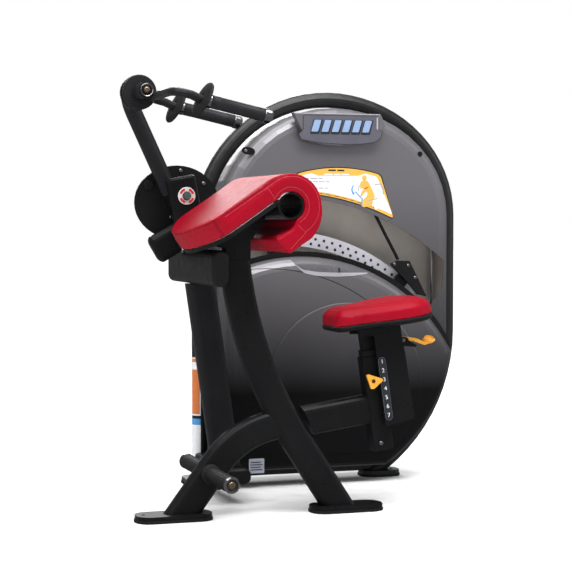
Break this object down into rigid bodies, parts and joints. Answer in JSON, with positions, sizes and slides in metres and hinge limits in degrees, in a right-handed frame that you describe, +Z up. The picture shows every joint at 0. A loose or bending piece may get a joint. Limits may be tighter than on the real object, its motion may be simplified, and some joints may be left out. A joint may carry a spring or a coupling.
{
  "type": "triceps press machine",
  "caption": "Seated triceps press machine with a ring tower behind a shroud, a swinging two-handled press arm, a sloping elbow pad with a wrap roll and a low height-adjusted seat.",
  "frame": {"origin": "bottom centre of the bounding box, on the floor", "axes": "+Z up; +X from the press arm towards the seat; +Y from the user towards the tower"},
  "size_m": [1.254, 0.9483, 1.283],
  "materials": {
    "frame_paint": "satin powder coat",
    "black_plastic": "satin",
    "rubber": "matte",
    "chrome": "polished",
    "steel": "satin",
    "red_upholstery": "satin vinyl",
    "pad_board": "satin",
    "shroud_grey": "metallic satin",
    "selector_silver": "satin",
    "white_plastic": "gloss",
    "yellow_plastic": "gloss",
    "iron_weights": "matte"
  },
  "bodies": {
    "frame": {"front_leg": "frame_paint", "brace_leg": "frame_paint", "lower_mast": "frame_paint", "upper_mast": "frame_paint", "cross_beam": "frame_paint", "base_beam": "frame_paint", "foot_peg_bar": "frame_paint", "pad_support": "frame_paint", "seat_beam": "frame_paint", "seat_post": "frame_paint", "tower_ring": "frame_paint", "tower_spine": "frame_paint", "cross_beam_cap": "black_plastic", "base_beam_cap": "black_plastic", "mast_cap": "black_plastic", "post_bushing": "black_plastic", "bulge_rim": "black_plastic", "badge_box": "black_plastic", "brace_foot": "rubber", "front_foot": "rubber", "tower_foot_left": "rubber", "tower_foot_right": "rubber", "foot_peg_sleeve_near": "rubber", "foot_peg_sleeve_far": "rubber", "foot_peg_cap_near": "chrome", "foot_peg_cap_far": "chrome", "pivot_shaft": "steel", "swing_axle": "steel", "guide_rod": "steel", "elbow_pad": "red_upholstery", "pad_board": "pad_board", "front_shroud": "shroud_grey", "lower_bulge": "shroud_grey", "bulge_cover": "shroud_grey", "rear_shroud": "shroud_grey", "selector_arc": "selector_silver", "pivot_cap": "white_plastic", "height_pointer": "yellow_plastic"},
    "arm": {"arm_tube": "frame_paint", "cam_disc": "black_plastic", "arm_bumper": "rubber"},
    "handles": {"handle_yoke": "frame_paint", "hand_guard_near": "rubber", "hand_guard_far": "rubber", "grip_near": "rubber", "grip_far": "rubber", "grip_cap_near": "chrome", "grip_cap_far": "chrome", "hub_bolt": "chrome"},
    "seat": {"seat_carriage": "frame_paint", "seat_tube": "steel", "seat_board": "pad_board", "seat_cushion": "red_upholstery"},
    "lever": {"seat_lever": "yellow_plastic"},
    "latch": {"latch_pin": "steel"},
    "swing": {"swing_arm": "frame_paint", "weight_plates": "iron_weights", "belt_bracket": "black_plastic", "drive_belt": "rubber"},
    "pulley": {"belt_pulley": "black_plastic"}
  },
  "joints": [
    {"name": "arm_swing", "type": "hinge", "parent": "frame", "child": "arm", "pos_m": [-0.4125, 0.0791, 0.9325], "axis": [0, -1, 0], "range_deg": [0, 95], "stiffness_Nm_per_rad": 20, "springref_deg": -114.59},
    {"name": "handle_tilt", "type": "hinge", "parent": "arm", "child": "handles", "pos_m": [-0.575, -0.1159, 1.232], "axis": [0, -1, 0], "range_deg": [-12, 35]},
    {"name": "seat_height", "type": "slide", "parent": "frame", "child": "seat", "axis": [-0.1392, 0, 0.9903], "range_m": [-0.0508, 0.1016]},
    {"name": "lever_lift", "type": "hinge", "parent": "seat", "child": "lever", "pos_m": [0.19141, -0.2259, 0.5023], "axis": [0, -1, 0], "range_deg": [0, 15], "stiffness_Nm_per_rad": 1.5, "springref_deg": -34.38},
    {"name": "latch_draw", "type": "slide", "parent": "seat", "child": "latch", "axis": [0.9903, 0, 0.1392], "range_m": [0, 0.008]},
    {"name": "swing_turn", "type": "hinge", "parent": "frame", "child": "swing", "pos_m": [-0.008, 0.3016, 0.17], "axis": [0, -1, 0], "range_deg": [0, 25]},
    {"name": "pulley_turn", "type": "hinge", "parent": "frame", "child": "pulley", "pos_m": [0.177, 0.2961, 1.062], "axis": [0, -1, 0], "range_deg": [0, 356]}
  ],
  "couplings": [
    {"joint": "swing_turn", "follows": "arm_swing", "ratio": 0.263},
    {"joint": "pulley_turn", "follows": "arm_swing", "ratio": 3.73},
    {"joint": "latch_draw", "follows": "lever_lift", "m_per_rad": 0.0305}
  ]
}
